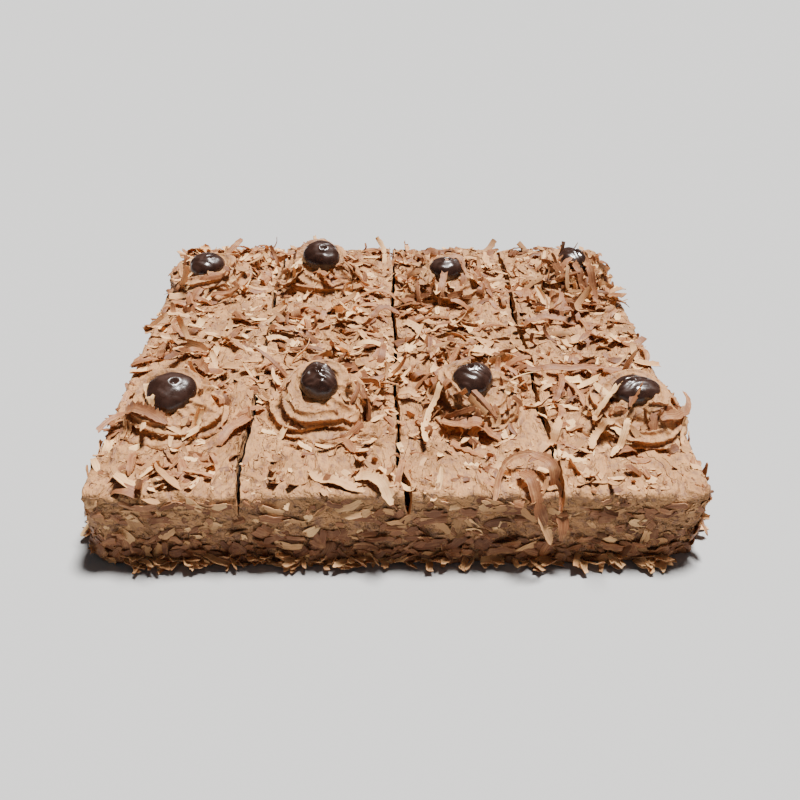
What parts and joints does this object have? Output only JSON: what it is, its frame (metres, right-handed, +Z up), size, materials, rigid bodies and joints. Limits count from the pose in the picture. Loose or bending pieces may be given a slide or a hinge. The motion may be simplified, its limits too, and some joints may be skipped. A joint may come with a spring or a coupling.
{
  "type": "opera cake",
  "caption": "Square chocolate slab cake cut into portions, coated in pale chocolate cream, with piped swirls, dark ganache drops and curled chocolate shavings.",
  "frame": {"origin": "middle of the slab's foot, on the surface it stands on", "axes": "+X to the right along the front edge, +Y from the front row to the back row, +Z up"},
  "size_m": [0.2685, 0.2661, 0.0635],
  "materials": {
    "cream": "soft matt chocolate cream",
    "swirl_cream": "soft matt chocolate cream",
    "sponge": "open dark crumb",
    "shavings": "satin milk chocolate, paler on the scraped side",
    "ganache": "wet gloss"
  },
  "bodies": {
    "root": {"front_1_sponge": "sponge", "front_2_sponge": "sponge", "front_3_sponge": "sponge", "front_4_sponge": "sponge", "back_1_sponge": "sponge", "back_2_sponge": "sponge", "back_3_sponge": "sponge", "back_4_sponge": "sponge", "front_1_cream": "cream", "front_2_cream": "cream", "front_3_cream": "cream", "front_4_cream": "cream", "back_1_cream": "cream", "back_2_cream": "cream", "back_3_cream": "cream", "back_4_cream": "cream", "front_1_swirl": "swirl_cream", "front_2_swirl": "swirl_cream", "front_3_swirl": "swirl_cream", "front_4_swirl": "swirl_cream", "back_1_swirl": "swirl_cream", "back_2_swirl": "swirl_cream", "back_3_swirl": "swirl_cream", "back_4_swirl": "swirl_cream", "front_1_ganache": "ganache", "front_2_ganache": "ganache", "front_3_ganache": "ganache", "front_4_ganache": "ganache", "back_1_ganache": "ganache", "back_2_ganache": "ganache", "back_3_ganache": "ganache", "back_4_ganache": "ganache"}
  },
  "joints": []
}
